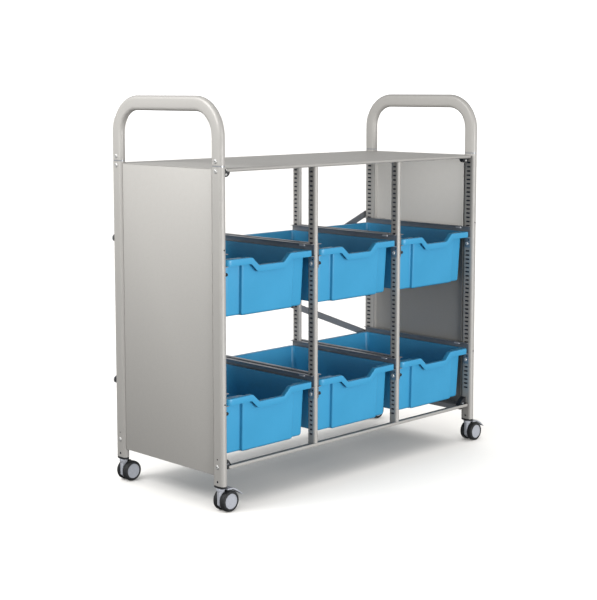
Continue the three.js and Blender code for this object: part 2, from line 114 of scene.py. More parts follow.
# Trays
TRAY_WALL = 2 * MM
TRAY_BODY_HALF = 148 * MM
TRAY_BODY_FRONT, TRAY_BODY_REAR = 201.5 * MM, 199.5 * MM
TRAY_NARROWING = 0.967
TRAY_SHOULDER, TRAY_SHOULDER_DEPTH, TRAY_SHOULDER_ROUND = 96 * MM, 11 * MM, 4 * MM
TRAY_CORNER, TRAY_CORNER_STEPS, TRAY_SHOULDER_STEPS = 14 * MM, 6, 4
TRAY_FLOOR_ROUND = 7 * MM
RIM_THICKNESS, RIM_EDGE_ROUND, RIM_INNER_ROUND = 3 * MM, 2.6 * MM, 1.4 * MM
LIP_HEIGHT, LIP_THICKNESS, LIP_EDGE_ROUND = 17 * MM, 2.5 * MM, 0.9 * MM
CUT_TOP, CUT_FLOOR, CUT_DEPTH = 69 * MM, 45 * MM, 22 * MM
CUT_BLEND, CUT_SPREAD = 3 * MM, 4.5 * MM
FLAT_SAMPLES, LAST_SAMPLE = (0.0, 15 * MM, 30 * MM), 86 * MM
BEND_SAMPLES_FROM, BEND_SAMPLE_PITCH, BEND_SAMPLE_COUNT = 37 * MM, 1.6 * MM, 28

# Casters; the hood's and the lever's corners end with their rounds
WHEEL_RADIUS, WHEEL_INNER, WHEEL_OUTER, WHEEL_STEPS = 28 * MM, 5.5 * MM, 22 * MM, 64
TYRE_SHOULDER, TYRE_SHOULDER_STEPS, TYRE_INNER_ROUND, TYRE_STEP = 6 * MM, 8, 3 * MM, 0.4 * MM
HUB_RADIUS, HUB_CLEARANCE, HUB_CAP_RADIUS = 20.3 * MM, 0.1 * MM, 7.5 * MM
HUB_STEP, HUB_GROOVE_IN = 0.5 * MM, 3 * MM
AXLE_RADIUS, AXLE_STEPS = 3.4 * MM, 24
HOOD_HALF_WIDTH, HOOD_FRONT, HOOD_NECK = 5 * MM, -8 * MM, 10 * MM
HOOD_TOP_ROUND, HOOD_FRONT_ROUND, HOOD_NECK_ROUND = 1.5 * MM, 6 * MM, 3 * MM
HOOD_FRONT_DROP, HOOD_NECK_DROP, HOOD_LAP, HOOD_SOFT = 9.5 * MM, 7 * MM, 2 * MM, 1.6 * MM
HOOD_RIM = ((-15 * MM, -19 * MM, 8 * MM), (6 * MM, -19 * MM, 12 * MM), (19 * MM, -5 * MM, 10 * MM),
            (17 * MM, 14 * MM, 9 * MM), (4 * MM, 19 * MM, 8 * MM))
COLLAR_RADIUS, COLLAR_HEIGHT, COLLAR_GAP, COLLAR_STEPS = 11 * MM, 8.4 * MM, 0.6 * MM, 40
COLLAR_LOW_EDGE, COLLAR_TOP_EDGE = 1.5 * MM, (0.8 * MM, 1 * MM)
STEM_RADIUS, STEM_RISE = 5 * MM, 2 * MM
LEVER_HALF_WIDTH, LEVER_ROOT, LEVER_SOFT = 14 * MM, 4.4 * MM, 0.8 * MM
LEVER_UNDERSIDE = ((0, 0, 1.2 * MM), (18 * MM, 0, 5 * MM), (30 * MM, 6 * MM, 6 * MM))
LEVER_BACK = ((32 * MM, 6.4 * MM, 6 * MM), (20 * MM, 0.6 * MM, 6 * MM),
              (6 * MM, 0, 3 * MM), (0, 0, 1.6 * MM))
LEVER_TIP_SLANT, LEVER_TIP_HEIGHT, LEVER_TIP_ROUND = 0.6 * MM, 1.8 * MM, 0.7 * MM

# Stage, lights and camera
NOISE_RANGE = (0.3, 0.7)
FLOOR_REACH, FLOOR_GLOW, FLOOR_TINT = 40.0, 0.14, (1, 0.97, 0.92, 1)
FLOOR_SUN_STRENGTH, FLOOR_SUN_ANGLE = 4.8, radians(100)
BACKDROP_RADIUS, BACKDROP_SEGMENTS, BACKDROP_RINGS, BACKDROP_GLOW = 60.0, 32, 16, 1.1
SKY_STRENGTH, SKY_LEFT_SHARE = 1.1, 0.75
SKY_LEVELS = ((0.0, 0.15), (0.45, 0.3), (0.55, 0.95), (0.7, 0.62), (1.0, 0.34))
LEFT_KEY = {"place": (-2.0, 0.35, 1.85), "target": (-0.55, 0.05, 0.95), "size": (1.0, 1.0), "power": 45}
FRONT_KEY = {"place": (-0.4, -4.2, 0.55), "target": (0, 0, 0.5), "size": (2.5, 1.2), "power": 150}
PANEL_FILL_LINE = ((0.05, 0.84), (0.5, 0.66))
PANEL_FILL_SIZE, PANEL_FILL_POWER = (0.3, 0.05), 1.6
CAMERA_PLACE = (-2.8395, -2.775, 1.087)
CAMERA_PITCH, CAMERA_YAW = radians(83.72), radians(-45.16)
CAMERA_LENS, CAMERA_SHIFT = 82.04, (-0.0022, -0.10)

# What repeats
ENDS = (("left", -1), ("right", 1))
FACES = (("front", -1), ("rear", 1))
ROWS = ("lower", "upper")
BAYS = (1, 2, 3)
UPRIGHTS = (1, 2)


# ---- Materials ----

def ranged(tree, source, before, after):
    """The source's value, carried from one (low, high) range to another."""
    node = tree.nodes.new("ShaderNodeMapRange")
    for label, value in zip(("From Min", "From Max", "To Min", "To Max"), (*before, *after)):
        node.inputs[label].default_value = value
    tree.links.new(source, node.inputs["Value"])
    return node.outputs["Result"]


class Recipe:
    """A Principled material; a grain is the (scale, detail, stretch) of the noise behind a value."""

    def __init__(self, name, metallic=0.0, specular=0.5):
        self.material = bpy.data.materials.new(name)
        self.material.use_nodes = True
        self.nodes = self.material.node_tree.nodes
        self.links = self.material.node_tree.links
        self.shader = self.nodes["Principled BSDF"]
        self.shader.inputs["Metallic"].default_value = metallic
        self.shader.inputs["Specular IOR Level"].default_value = specular
        self.place = self.nodes.new("ShaderNodeTexCoord").outputs["Object"]

    def glow(self, tint, strength):
        self.shader.inputs["Emission Color"].default_value = tint
        self.shader.inputs["Emission Strength"].default_value = strength

    def noise(self, scale, detail, stretch=(1, 1, 1)):
        """Noise with about this many features to the metre, drawn out along some axes."""
        mapping = self.nodes.new("ShaderNodeMapping")
        mapping.inputs["Scale"].default_value = stretch
        self.links.new(self.place, mapping.inputs["Vector"])
        texture = self.nodes.new("ShaderNodeTexNoise")
        texture.inputs["Scale"].default_value = scale
        texture.inputs["Detail"].default_value = detail
        self.links.new(mapping.outputs["Vector"], texture.inputs["Vector"])
        return texture.outputs["Fac"]

    def colour(self, grain, dark, light):
        """Base colour from dark to light as the noise goes through its middle range."""
        ramp = self.nodes.new("ShaderNodeValToRGB")
        for element, position, shade in zip(ramp.color_ramp.elements, NOISE_RANGE, (dark, light)):
            element.position = position
            element.color = (*shade, 1)
        self.links.new(self.noise(*grain), ramp.inputs["Fac"])
        self.links.new(ramp.outputs["Color"], self.shader.inputs["Base Color"])

    def roughness(self, grain, low, high):
        value = ranged(self.material.node_tree, self.noise(*grain), NOISE_RANGE, (low, high))
        self.links.new(value, self.shader.inputs["Roughness"])

    def bump(self, grain, strength, height):
        bump = self.nodes.new("ShaderNodeBump")
        bump.inputs["Strength"].default_value = strength
        bump.inputs["Distance"].default_value = height
        self.links.new(self.noise(*grain), bump.inputs["Height"])
        self.links.new(bump.outputs["Normal"], self.shader.inputs["Normal"])


def silver_powder_coat():
    recipe = Recipe("silver_powder_coat", metallic=0.25)
    recipe.colour((900, 3), (0.385, 0.373, 0.352), (0.43, 0.418, 0.396))
    recipe.roughness((60, 3), 0.5, 0.6)
    recipe.bump((1100, 2), 0.12, 0.15 * MM)
    return recipe.material


def dark_steel():
    recipe = Recipe("dark_steel", metallic=0.6)
    recipe.colour((260, 4, (1, 0.12, 1)), (0.27, 0.28, 0.3), (0.33, 0.34, 0.36))
    recipe.roughness((320, 3, (1, 0.08, 1)), 0.28, 0.42)
    recipe.bump((900, 2, (1, 0.1, 1)), 0.1, 0.1 * MM)
    return recipe.material


def black_plastic():
    recipe = Recipe("black_plastic")
    recipe.colour((500, 3), (0.012, 0.013, 0.015), (0.024, 0.025, 0.028))
    recipe.roughness((180, 2), 0.42, 0.58)
    recipe.bump((1600, 2), 0.25, 0.12 * MM)
    return recipe.material


def blue_tray_plastic():
    recipe = Recipe("blue_tray_plastic", specular=0.45)
    recipe.colour((9, 4), (0.038, 0.295, 0.53), (0.045, 0.32, 0.57))
    recipe.roughness((120, 3), 0.36, 0.46)
    recipe.bump((1500, 2), 0.1, 0.1 * MM)
    return recipe.material


def grey_caster_plastic():
    recipe = Recipe("grey_caster_plastic")
    recipe.colour((300, 3), (0.36, 0.375, 0.415), (0.41, 0.425, 0.465))
    recipe.roughness((150, 2), 0.38, 0.5)
    recipe.bump((1500, 2), 0.12, 0.1 * MM)
    return recipe.material


def tyre_rubber():
    recipe = Recipe("tyre_rubber", specular=0.4)
    recipe.colour((220, 4), (0.009, 0.0095, 0.011), (0.02, 0.021, 0.023))
    recipe.roughness((90, 3), 0.55, 0.72)
    recipe.bump((1200, 3), 0.3, 0.15 * MM)
    return recipe.material


def bright_zinc():
    recipe = Recipe("bright_zinc", metallic=0.45)
    recipe.colour((700, 3), (0.52, 0.52, 0.51), (0.62, 0.62, 0.61))
    recipe.roughness((400, 3), 0.32, 0.45)
    recipe.bump((1400, 2), 0.08, 0.08 * MM)
    return recipe.material


def pale_stop():
    recipe = Recipe("pale_stop")
    recipe.colour((500, 2), (0.5, 0.52, 0.55), (0.6, 0.62, 0.65))
    recipe.roughness((200, 2), 0.35, 0.5)
    return recipe.material


# Painted shade: a dark colour for the walls and floor of a shallow blind slot, standing for the shadow
# inside the hollow tube.
def painted_slot_shade(name, dark, light):
    recipe = Recipe(name, metallic=0.2, specular=0.2)
    recipe.colour((400, 2), dark, light)
    recipe.roughness((200, 2), 0.6, 0.8)
    return recipe.material


def slot_shadow():
    return painted_slot_shade("slot_shadow", (0.05, 0.056, 0.07), (0.075, 0.082, 0.098))


# Painted shade for the uprights' slots, lighter than on the posts; its blue tint is a painted
# reflection of the trays.
def faint_slot_shade():
    return painted_slot_shade("faint_slot_shade", (0.09, 0.095, 0.115), (0.115, 0.12, 0.145))


FINISHES = {
    make.__name__: make()
    for make in (
        silver_powder_coat, dark_steel, black_plastic, blue_tray_plastic,
        grey_caster_plastic, tyre_rubber, bright_zinc, pale_stop, slot_shadow, faint_slot_shade,
    )
}


# ---- Outlines ----

def arc(centre, radius, start, end, steps):
    """Points round a centre from one angle to another."""
    turns = [start + (end - start) * step / steps for step in range(steps + 1)]
    return [(centre[0] + radius * cos(turn), centre[1] + radius * sin(turn)) for turn in turns]


def rectangle(low, high):
    """The four corners from the lowest to the highest, anticlockwise."""
    return [(low[0], low[1]), (high[0], low[1]), (high[0], high[1]), (low[0], high[1])]


def oval(wide, thick):
    """A flat-sided oval, wide along its second axis."""
    nose = thick / 2
    flat = wide / 2 - nose
    return arc((0, flat), nose, 0, pi, OVAL_STEPS) + arc((0, -flat), nose, pi, 2 * pi, OVAL_STEPS)


def quarter_round(radius):
    """(1 - cos, 1 - sin) pairs that take one ring to the next round a small edge."""
    angles = [pi / 2 * step / EDGE_STEPS for step in range(EDGE_STEPS + 1)]
    return [(radius * (1 - cos(a)), radius * (1 - sin(a))) for a in angles]


def rounded(corners):
    """An outline from (a, b, radius) corners, each turned on its own radius."""
    outline = []
    for index, (a, b, radius) in enumerate(corners):
        here = Vector((a, b))
        if not radius:
            outline.append((a, b))
            continue
        back = (Vector(corners[index - 1][:2]) - here).normalized()
        ahead = (Vector(corners[(index + 1) % len(corners)][:2]) - here).normalized()
        half = back.angle(ahead) / 2
        centre = here + (back + ahead).normalized() * (radius / sin(half))
        start = here + back * (radius / tan(half)) - centre
        end = here + ahead * (radius / tan(half)) - centre
        first = atan2(start.y, start.x)
        sweep = (atan2(end.y, end.x) - first + pi) % (2 * pi) - pi
        outline += arc(centre, radius, first, first + sweep, CORNER_STEPS)
    return outline


def inset(outline, distance):
    """The same anticlockwise outline, each point moved inwards square to it."""
    moved = []
    for index, (a, b) in enumerate(outline):
        here = Vector((a, b))
        back = (here - Vector(outline[index - 1])).normalized()
        ahead = (Vector(outline[(index + 1) % len(outline)]) - here).normalized()
        along = (back + ahead).normalized()
        reach = distance / max(along.dot(ahead), MITRE_LIMIT)
        moved.append((a - along.y * reach, b + along.x * reach))
    return moved


# ---- Bodies ----

def loft(rings, cyclic=False):
    """Skins equal rings of points in order: capped at both ends, or closed on itself."""
    mesh = bmesh.new()
    rows = [[mesh.verts.new(point) for point in ring] for ring in rings]
    pairs = list(zip(rows, rows[1:]))
    if cyclic:
        pairs.append((rows[-1], rows[0]))
    else:
        mesh.faces.new(rows[0][::-1])
        mesh.faces.new(rows[-1])
    for first, second in pairs:
        for index in range(len(first)):
            after = (index + 1) % len(first)
            mesh.faces.new((first[index], first[after], second[after], second[index]))
    bmesh.ops.recalc_face_normals(mesh, faces=mesh.faces)
    return mesh


def bar(outline, low, high, along):
    """Pulls an outline along one axis into a closed bar."""
    place = {
        "X": lambda a, b, t: (t, a, b),
        "Y": lambda a, b, t: (a, t, b),
        "Z": lambda a, b, t: (a, b, t),
    }[along]
    return loft([[place(a, b, t) for a, b in outline] for t in (low, high)])


def level_ring(reach, height, steps):
    """Points round Z at one height; reach gives their distance at each angle."""
    angles = [2 * pi * step / steps for step in range(steps)]
    return [(reach(angle) * cos(angle), reach(angle) * sin(angle), height) for angle in angles]


def turned(profile, steps, cyclic=False):
    """Turns a (radius, height) profile about Z."""
    return loft([level_ring(lambda _: radius, height, steps) for radius, height in profile], cyclic)


def plain_mesh(name, body):
    """A Blender mesh with the body's shape, which frees the body."""
    data = bpy.data.meshes.new(name)
    body.to_mesh(data)
    body.free()
    return data


def mixed(*parts):
    """Several closed bodies in one."""
    whole = bmesh.new()
    for part in parts:
        data = plain_mesh("part", part)
        whole.from_mesh(data)
        bpy.data.meshes.remove(data)
    return whole


def as_mesh(name, body, *finishes):
    """A finished Blender mesh from a body, smooth but for its real edges."""
    data = plain_mesh(name, body)
    for finish in finishes:
        data.materials.append(FINISHES[finish])
    data.shade_smooth()
    data.set_sharp_from_angle(angle=SHARP_ANGLE)
    return data


def scene_object(name, data):
    """A new object, linked to the scene."""
    thing = bpy.data.objects.new(name, data)
    bpy.context.scene.collection.objects.link(thing)
    return thing


def round_edges(piece, width, harden_normals):
    bevel = piece.modifiers.new("rounded_edges", "BEVEL")
    bevel.width = width
    bevel.segments = BEVEL_SEGMENTS
    bevel.limit_method = "ANGLE"
    bevel.angle_limit = SHARP_ANGLE
    bevel.harden_normals = harden_normals


def add(name, data, rides_on="frame", place=None, stands_for=(), soften=0.0):
    """Puts a mesh in the scene as one piece that rides on a CAD body."""
    piece = scene_object(name, data)
    piece.matrix_world = place or Matrix.Identity(4)
    if soften:
        round_edges(piece, soften, harden_normals=True)
    if stands_for:
        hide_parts(*stands_for)
    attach(piece, rides_on)


def stand_in(node, label, body, *finishes, rides_on="frame", place=None, soften=0.0):
    """Adds the piece that stands for one CAD node."""
    add(f"{node}_{label}", as_mesh(node, body, *finishes), rides_on, place, [node], soften)


def at(x, y, z):
    return Matrix.Translation((x, y, z))


def facing(x, y, z, direction):
    """Places a piece so that its own +Z looks along the direction."""
    turn = Vector(direction).to_track_quat("Z", "Y").to_matrix().to_4x4()
    return at(x, y, z) @ turn


def middle(node):
    low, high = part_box(node)
    return (low + high) / 2


# ---- Slotted tubes ----

def hole_loop(half_width, half_height, corner):
    """A hole with rounded corners as four quarter arcs, anticlockwise from its lower left."""
    a, b = half_width - corner, half_height - corner
    loop = []
    for quarter, centre in enumerate(rectangle((-a, -b), (a, b))):
        start = pi + quarter * pi / 2
        loop += arc(centre, corner, start, start + pi / 2, HOLE_STEPS)
    return loop


def punch(mesh, corners, hole):
    """Fills a rectangle of the tube's wall round a blind hole. The hole's walls and floor take the
    second material, which is painted shade standing for the dark inside of the hollow tube.
    """
    low_left, low_right, high_right, _ = (corner.co for corner in corners)
    centre = (low_left + high_right) / 2
    across = (low_right - low_left).normalized()
    outward = across.cross(Vector((0, 0, 1)))
    loop_points = [centre + across * u + Vector((0, 0, v)) for u, v in hole_loop(*hole)]
    rim = [mesh.verts.new(point) for point in loop_points]
    floor = [mesh.verts.new(point - outward * SLOT_DEPTH) for point in loop_points]
    quarter = HOLE_STEPS + 1
    for side in range(4):
        first = side * quarter + HOLE_STEPS // 2
        last = (side + 1) % 4 * quarter + HOLE_STEPS // 2
        count = (last - first) % len(rim)
        edge = [rim[(first + step) % len(rim)] for step in range(count + 1)]
        mesh.faces.new((corners[side], corners[(side + 1) % 4], *reversed(edge)))
    for index in range(len(rim)):
        after = (index + 1) % len(rim)
        # The hole's walls and floor take material 1, the painted slot shade.
        wall = mesh.faces.new((rim[index], rim[after], floor[after], floor[index]))
        wall.material_index = 1
    mesh.faces.new(floor).material_index = 1


def slotted_tube(wide, thick, strip, low, high, holes):
    """An upright oval tube; holes are (height, size, sides), sides being +X or -X."""
    nose = thick / 2
    flat = wide / 2 - nose
    outline = [(nose, -strip), (nose, strip)]
    outline += arc((0, flat), nose, 0, pi, OVAL_STEPS)
    outline += [(-nose, strip), (-nose, -strip)]
    outline += arc((0, -flat), nose, pi, 2 * pi, OVAL_STEPS)
    side_of_edge = {0: 1, OVAL_STEPS + 3: -1}
    cells = {}
    levels = [low, high]
    for height, size, sides in holes:
        half_height = size["half_height"]
        bottom = height - half_height - SLOT_MARGIN
        cells[bottom] = ((size["half_width"], half_height, size["round"]), sides)
        levels += [bottom, height + half_height + SLOT_MARGIN]
    levels.sort()
    mesh = bmesh.new()
    rows = [[mesh.verts.new((a, b, level)) for a, b in outline] for level in levels]
    for level, lower, upper in zip(levels, rows, rows[1:]):
        hole = cells.get(level)
        for index in range(len(outline)):
            after = (index + 1) % len(outline)
            corners = (lower[index], lower[after], upper[after], upper[index])
            if hole and side_of_edge.get(index) in hole[1]:
                punch(mesh, corners, hole[0])
            else:
                mesh.faces.new(corners)
    mesh.faces.new(rows[0][::-1])
    mesh.faces.new(rows[-1])
    bmesh.ops.recalc_face_normals(mesh, faces=mesh.faces)
    return mesh


def slot_row(slot, start, end, sides):
    count = int((end - start) / SLOT_PITCH)
    return [(end - index * SLOT_PITCH, slot, sides) for index in range(count + 1)]


# ---- Fasteners ----

def hexagon_reach(radius, angle):
    """How far the side of a hexagon with this outer radius is from its middle, at an angle."""
    return radius * cos(pi / 6) / cos((angle + pi / 6) % (pi / 3) - pi / 6)


def socket_screw(name, radius, height, finish):
    """A domed head with a six-sided socket."""
    rings = [level_ring(lambda _: share * radius, rise * height, SCREW_STEPS)
             for share, rise in SCREW_DOME]
    rings += [level_ring(lambda angle: hexagon_reach(SOCKET_SHARE * radius, angle), rise * height,
                         SCREW_STEPS)
              for rise in SOCKET_LEVELS]
    return as_mesh(name, loft(rings), finish)


def knob_reach(share, angle):
    """The knob's radius at an angle: lobed where it is gripped, round elsewhere."""
    lobe = KNOB_LOBE_DEPTH * cos(KNOB_LOBES * angle) if share > KNOB_GRIP_SHARE else 0
    return KNOB_RADIUS * share * (1 + lobe)


def lobed_knob(name):
    """A small moulded hand knob with finger lobes and a domed end."""
    rings = [level_ring(lambda angle: knob_reach(share, angle), rise * KNOB_HEIGHT, KNOB_STEPS)
             for share, rise in KNOB_PROFILE]
    return as_mesh(name, loft(rings), "black_plastic")


big_screw = socket_screw("big_screw", SCREW_RADIUS, SCREW_HEIGHT, "bright_zinc")
small_dot = socket_screw("small_dot", SMALL_SCREW_RADIUS, SMALL_SCREW_HEIGHT, "black_plastic")
brace_bolt = socket_screw("brace_bolt", BRACE_BOLT_RADIUS, BRACE_BOLT_HEIGHT, "dark_steel")
knob = lobed_knob("runner_knob")


# ---- End frames ----

def post(name, inward):
    low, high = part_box(name)
    size = high - low
    holes = slot_row(POST_SLOT, POST_SLOTS_FROM, POST_SLOTS_TO, (inward,))
    holes.append((FOOT_HOLE_Z, FOOT_HOLE, (1, -1)))
    holes.append((PANEL_HOLE_Z, PANEL_HOLE, (-inward,)))
    body = slotted_tube(size.y, size.x, POST_STRIP, low.z, high.z, holes)
    place = middle(name)
    # The post's slots and holes take the painted slot shadow as their second material.
    stand_in(name, "tube", body, "silver_powder_coat", "slot_shadow", place=at(place.x, place.y, 0))
    return place, size


def post_screws(corner, place, size, outward, front):
    """The fasteners on the outer face and the front edge of one post."""
    x = place.x + outward * size.x / 2
    joint = middle(f"handle_joint_{corner}").z
    heights = (joint + JOINT_SCREW_RISE, joint - JOINT_SCREW_RISE, PANEL_SCREW_Z)
    for index, z in enumerate(heights):
        add(f"post_screw_{corner}_{index + 1}", big_screw,
            place=facing(x, place.y, z, (outward, 0, 0)))
    for index, z in enumerate(NOSE_DOTS_Z):
        add(f"post_dot_{corner}_{index + 1}", small_dot,
            place=facing(place.x, place.y + front * (size.y / 2 - DOT_SUNK), z, (0, front, 0)))


def joint_ring(corner, place, size):
    node = f"handle_joint_{corner}"
    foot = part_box(f"handle_{corner.split('_')[1]}")[0].z
    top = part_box(f"post_{corner}")[1].z
    outline = oval(size.y - 2 * JOINT_INSET, size.x - 2 * JOINT_INSET)
    stand_in(node, "ring", bar(outline, top, foot, "Z"), "dark_steel", place=at(place.x, place.y, 0))


def foot_cap(corner, place, size):
    """The plug that closes the post's foot and holds the caster's stem."""
    node = f"foot_cap_{corner}"
    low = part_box(node)[0].z
    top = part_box(f"post_{corner}")[0].z
    full = oval(size.y, size.x)
    rings = [(inset(full, along), low + up) for along, up in reversed(quarter_round(FOOT_ROUND))]
    rings.append((full, top))
    body = loft([[(a, b, z) for a, b in outline] for outline, z in rings])
    stand_in(node, "plug", body, "black_plastic", place=at(place.x, place.y, 0))


def hoop_path(low, high, half_depth, tube):
    """Points and in-plane normals up, over and down the hoop, as (y, z, normal y, normal z)."""
    reach = half_depth - tube / 2
    top = high - tube / 2
    inner = reach - HANDLE_BEND
    bend = top - HANDLE_BEND
    path = [(-reach, low, -1, 0)]
    for centre, start in ((-inner, pi), (inner, pi / 2)):
        for step in range(HANDLE_BEND_STEPS + 1):
            angle = start - step * pi / 2 / HANDLE_BEND_STEPS
            path.append((centre + HANDLE_BEND * cos(angle), bend + HANDLE_BEND * sin(angle),
                         cos(angle), sin(angle)))
    return path + [(reach, low, 1, 0)]


def handle(end, size):
    node = f"handle_{end}"
    low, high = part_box(node)
    centre = (low + high) / 2
    section = oval(size.y, size.x)
    rings = []
    for y, z, normal_y, normal_z in hoop_path(low.z, high.z, (high.y - low.y) / 2, size.y):
        rings.append([(a, y + b * normal_y, z + b * normal_z) for a, b in section])
    stand_in(node, "hoop", loft(rings), "silver_powder_coat", place=at(centre.x, centre.y, 0))


def side_panel(end, outward):
    """A shallow pan of folded sheet, its open side inwards."""
    node = f"side_panel_{end}"
    low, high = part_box(node)
    outer = high.x if outward > 0 else low.x
    edge = rounded([(y, z, PANEL_CORNER) for y, z in rectangle(low.yz, high.yz)])
    halfway = HALFWAY_SHARE * PANEL_FOLD
    steps = [
        (SHEET + PANEL_INNER_ROUND, SHEET), (SHEET, SHEET + PANEL_INNER_ROUND), (SHEET, PANEL_RETURN),
        (0, PANEL_RETURN), (0, PANEL_FOLD), (halfway, halfway), (PANEL_FOLD, 0),
    ]
    rings = [[(outer - outward * depth, y, z) for y, z in inset(edge, inwards)]
             for inwards, depth in steps]
    stand_in(node, "pan", loft(rings), "silver_powder_coat")


def end_frame(end, outward):
    for face, front in FACES:
        corner = f"{face}_{end}"
        place, size = post(f"post_{corner}", -outward)
        post_screws(corner, place, size, outward, front)
        joint_ring(corner, place, size)
        foot_cap(corner, place, size)
    handle(end, size)
    side_panel(end, outward)


# ---- Top, rails and uprights ----

def top_plate(low, high):
    """The flat sheet, notched round the four posts."""
    post_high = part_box("post_front_left")[1]
    wing_y = -post_high.y - GAP
    half_x = (high.x - low.x) / 2
    plate_x = half_x - (post_high.x - low.x) - GAP
    half_y = (high.y - low.y) / 2 - TOP_LIP_ROUND
    quarter = [(plate_x, -half_y), (plate_x, -wing_y), (half_x, -wing_y)]
    outline = [(-x, y) for x, y in reversed(quarter)] + quarter
    outline += [(x, -y) for x, y in reversed(quarter)] + [(-x, -y) for x, y in quarter]
    return bar(outline, high.z - SHEET, high.z, "Z")


def top_lip(low, high, front):
    """The rolled edge along the front or the rear, turned back under the sheet."""
    half = (high.y - low.y) / 2
    nose = half - TOP_LIP_ROUND
    top, under = high.z, high.z - TOP_LIP_HEIGHT
    centre = (nose, (top + under) / 2)
    outer = arc(centre, TOP_LIP_HEIGHT / 2, pi / 2, -pi / 2, TOP_LIP_STEPS)
    inner = arc(centre, TOP_LIP_HEIGHT / 2 - SHEET, -pi / 2, pi / 2, TOP_LIP_STEPS)
    back = half - TOP_LIP_RETURN
    outline = outer + [(back, under), (back, under + SHEET)] + inner
    rail_low, rail_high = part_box("bottom_rail_front")
    half_length = (rail_high.x - rail_low.x) / 2
    return bar([(front * y, z) for y, z in outline], -half_length, half_length, "X")


def top_panel():
    low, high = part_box("top_panel")
    centre = (low + high) / 2
    place = at(centre.x, centre.y, 0)
    add("top_panel_sheet", as_mesh("top_panel", top_plate(low, high), "silver_powder_coat"),
        place=place, stands_for=["top_panel"])
    for face, front in FACES:
        add(f"top_lip_{face}", as_mesh("top_lip", top_lip(low, high, front), "silver_powder_coat"),
            place=place, stands_for=["top_panel"])


def bottom_rail(face, front):
    """A flat web with a rolled nose along its outer edge, and a dark strip behind the nose that is
    painted shade and painted reflection for the inside of the channel.
    """
    node = f"bottom_rail_{face}"
    low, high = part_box(node)
    depth = high.y - low.y
    height = high.z - low.z
    nose = rounded([
        (0, 0, RAIL_FOLD_ROUND), (depth, 0, SOFT_EDGE), (depth, SHEET, SOFT_EDGE),
        (RAIL_NOSE_THICKNESS, SHEET, SOFT_EDGE), (RAIL_NOSE_THICKNESS, height, RAIL_NOSE_ROUND),
        (0, height, RAIL_NOSE_ROUND),
    ])
    outer = low.y if front < 0 else high.y
    outline = [(outer - front * a, low.z + b) for a, b in nose]
    stand_in(node, "channel", bar(outline, low.x, high.x, "X"), "silver_powder_coat")
    # Painted shade and reflection: a thin dark strip laid on the web behind the nose, where the
    # channel's inside is shaded and reflects dark.
    shade_strip = rectangle((RAIL_NOSE_THICKNESS, 0), (RAIL_SHADE_STRIP_DEPTH, RAIL_SHADE_STRIP_RISE))
    edge = [(outer - front * a, low.z + SHEET + b) for a, b in shade_strip]
    add(f"{node}_liner", as_mesh(f"{node}_liner", bar(edge, low.x, high.x, "X"), "dark_steel"))


def intermediate_upright(node):
    low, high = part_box(node)
    size = high - low
    place = middle(node)
    holes = slot_row(UPRIGHT_SLOT, UPRIGHT_SLOTS_FROM, UPRIGHT_SLOTS_TO, (1, -1))
    body = slotted_tube(size.y, size.x, UPRIGHT_STRIP, low.z, high.z, holes)
    # The uprights' slots take the lighter painted slot shade as their second material.
    stand_in(node, "tube", body, "silver_powder_coat", "faint_slot_shade", place=at(place.x, place.y, 0))


def hanging_gusset(length, height):
    """Half-round, its flat side along the lip."""
    circle = arc((0, 0), 1, 0, pi, GUSSET_STEPS)
    return [(length / 2 * (1 + a), height * b) for a, b in circle]


def standing_gusset(length, height):
    """A triangle with a bulging slope and soft corners."""
    corners = (
        ((0, 0), SOFT_EDGE), ((1, 0), GUSSET_END_ROUND), (GUSSET_TOE, GUSSET_ROUND),
        (GUSSET_BEND, GUSSET_BEND_ROUND), (GUSSET_TOP, GUSSET_ROUND), ((0, 1), GUSSET_END_ROUND),
    )
    return rounded([(length * a, height * b, radius) for (a, b), radius in corners])


def corner_bracket(level, face, front, end, outward):
    """A black gusset in the corner of post and rail, with its screw and the pad on the rail's end."""
    node = f"corner_bracket_{level}_{face}_{end}"
    low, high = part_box(node)
    if level == "top":
        up, gusset_outline, screw = -1, hanging_gusset, big_screw
        root_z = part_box("top_panel")[1].z - TOP_LIP_HEIGHT - GAP
        reach = root_z - low.z
        pad_low, pad_top = root_z, high.z
    else:
        up, gusset_outline, screw = 1, standing_gusset, brace_bolt
        rail_low, rail_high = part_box(f"bottom_rail_{face}")
        root_z = rail_low.z + SHEET + GAP
        reach = high.z - root_z
        pad_low, pad_top = low.z, rail_high.z
    root_x = high.x if outward > 0 else low.x
    inner = high.y if front < 0 else low.y
    face_y = inner + front * BRACKET_THICKNESS
    outline = gusset_outline(high.x - low.x, reach)
    gusset = bar([(root_x - outward * a, root_z + up * b) for a, b in outline],
                 *sorted((inner, face_y)), "Y")
    pad_edges = rectangle((0, pad_low), (BRACKET_PAD_WIDTH, pad_top))
    pad = bar([(root_x - outward * a, z) for a, z in pad_edges], low.y, high.y, "Y")
    stand_in(node, "gusset", mixed(gusset, pad), "black_plastic", soften=SOFT_EDGE)
    spot = facing(root_x - outward * BRACKET_SCREW_IN, face_y - front * SCREW_SUNK,
                  root_z + up * BRACKET_SCREW_OFF, (0, front, 0))
    add(f"{node}_screw", screw, place=spot @ Matrix.Scale(BRACKET_SCREW_SHARE, 4))


# ---- Runners ----

